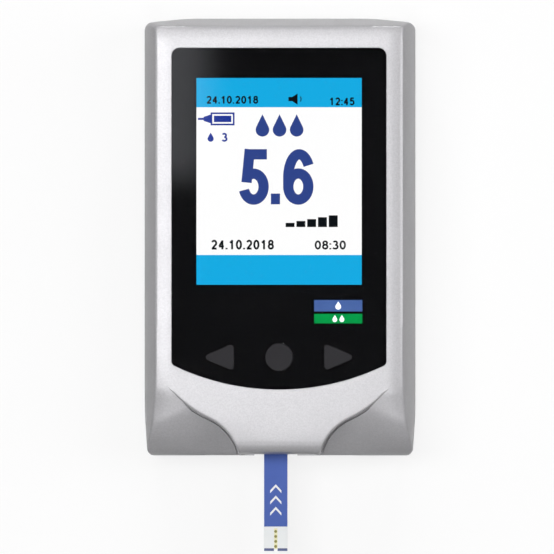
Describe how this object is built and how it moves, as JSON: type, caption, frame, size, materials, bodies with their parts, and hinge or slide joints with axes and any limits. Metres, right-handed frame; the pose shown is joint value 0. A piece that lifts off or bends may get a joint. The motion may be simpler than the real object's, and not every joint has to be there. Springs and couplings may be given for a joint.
{
  "type": "blood glucose meter",
  "caption": "Hand-held meter with a colour screen, arrow keys and a round key, a test strip in its lower end, and a sliding battery door and strip ejector on the back.",
  "frame": {"origin": "middle of the flat back of the case, which the meter rests on", "axes": "+X to the right as the user looks at the screen, +Y towards the top of the screen, away from the test strip, +Z out of the front face"},
  "size_m": [0.058, 0.1139, 0.0235],
  "materials": {
    "silver_paint": "satin silver paint with a fine sparkle",
    "clear_window": "clear, polished",
    "black_print": "black print under the window",
    "foam": "closed-cell foam",
    "lcd_panel": "lit colour display",
    "light_guide": "clear white sheet",
    "thin_steel": "zinc plated",
    "flex_film": "amber film",
    "key_plastic": "fine matt",
    "white_plastic": "plain moulded",
    "black_plastic": "plain moulded",
    "circuit_board": "green solder mask",
    "gold_contact": "gold plated spring metal",
    "strip_print": "blue print on white film",
    "strip_film": "thin film",
    "cell_wrap": "plain printed sleeve on a steel can",
    "nickel_contact": "nickel plated"
  },
  "bodies": {
    "case": {"front_cover": "silver_paint", "rear_cover": "silver_paint", "display_window": "clear_window", "window_mask": "black_print", "screen_gasket": "foam", "lcd_glass": "lcd_panel", "lcd_backlight": "light_guide", "lcd_frame": "thin_steel", "lcd_flex": "flex_film", "key_switches": "black_plastic", "main_board": "circuit_board", "board_components": "black_plastic", "buzzer": "black_plastic", "strip_connector": "white_plastic", "strip_contacts": "gold_contact", "strip_port_guide": "black_plastic", "battery_left": "cell_wrap", "battery_right": "cell_wrap", "battery_springs": "nickel_contact", "battery_plates": "nickel_contact", "case_screws": "thin_steel", "board_screws": "thin_steel"},
    "left_key": {"button_left": "key_plastic", "switch_stem_left": "white_plastic"},
    "ok_key": {"button_ok": "key_plastic", "switch_stem_ok": "white_plastic"},
    "right_key": {"button_right": "key_plastic", "switch_stem_right": "white_plastic"},
    "ejector": {"ejector_button": "key_plastic", "ejector_slider": "white_plastic"},
    "strip": {"strip_base": "strip_print", "strip_cover": "strip_film"},
    "door": {"battery_door": "silver_paint"}
  },
  "joints": [
    {"name": "left_key_press", "type": "slide", "parent": "case", "child": "left_key", "axis": [0, 0, -1], "range_m": [0, 0.0005], "stiffness_N_per_m": 1200, "springref_m": -0.0005},
    {"name": "ok_key_press", "type": "slide", "parent": "case", "child": "ok_key", "axis": [0, 0, -1], "range_m": [0, 0.0005], "stiffness_N_per_m": 1200, "springref_m": -0.0005},
    {"name": "right_key_press", "type": "slide", "parent": "case", "child": "right_key", "axis": [0, 0, -1], "range_m": [0, 0.0005], "stiffness_N_per_m": 1200, "springref_m": -0.0005},
    {"name": "ejector_slide", "type": "slide", "parent": "case", "child": "ejector", "axis": [0, -1, 0], "range_m": [0, 0.007]},
    {"name": "strip_slide", "type": "slide", "parent": "case", "child": "strip", "axis": [0, -1, 0], "range_m": [0, 0.007]},
    {"name": "battery_door_slide", "type": "slide", "parent": "case", "child": "door", "axis": [0, 1, 0], "range_m": [0, 0.056]}
  ],
  "couplings": [
    {"joint": "strip_slide", "follows": "ejector_slide", "ratio": 1}
  ]
}
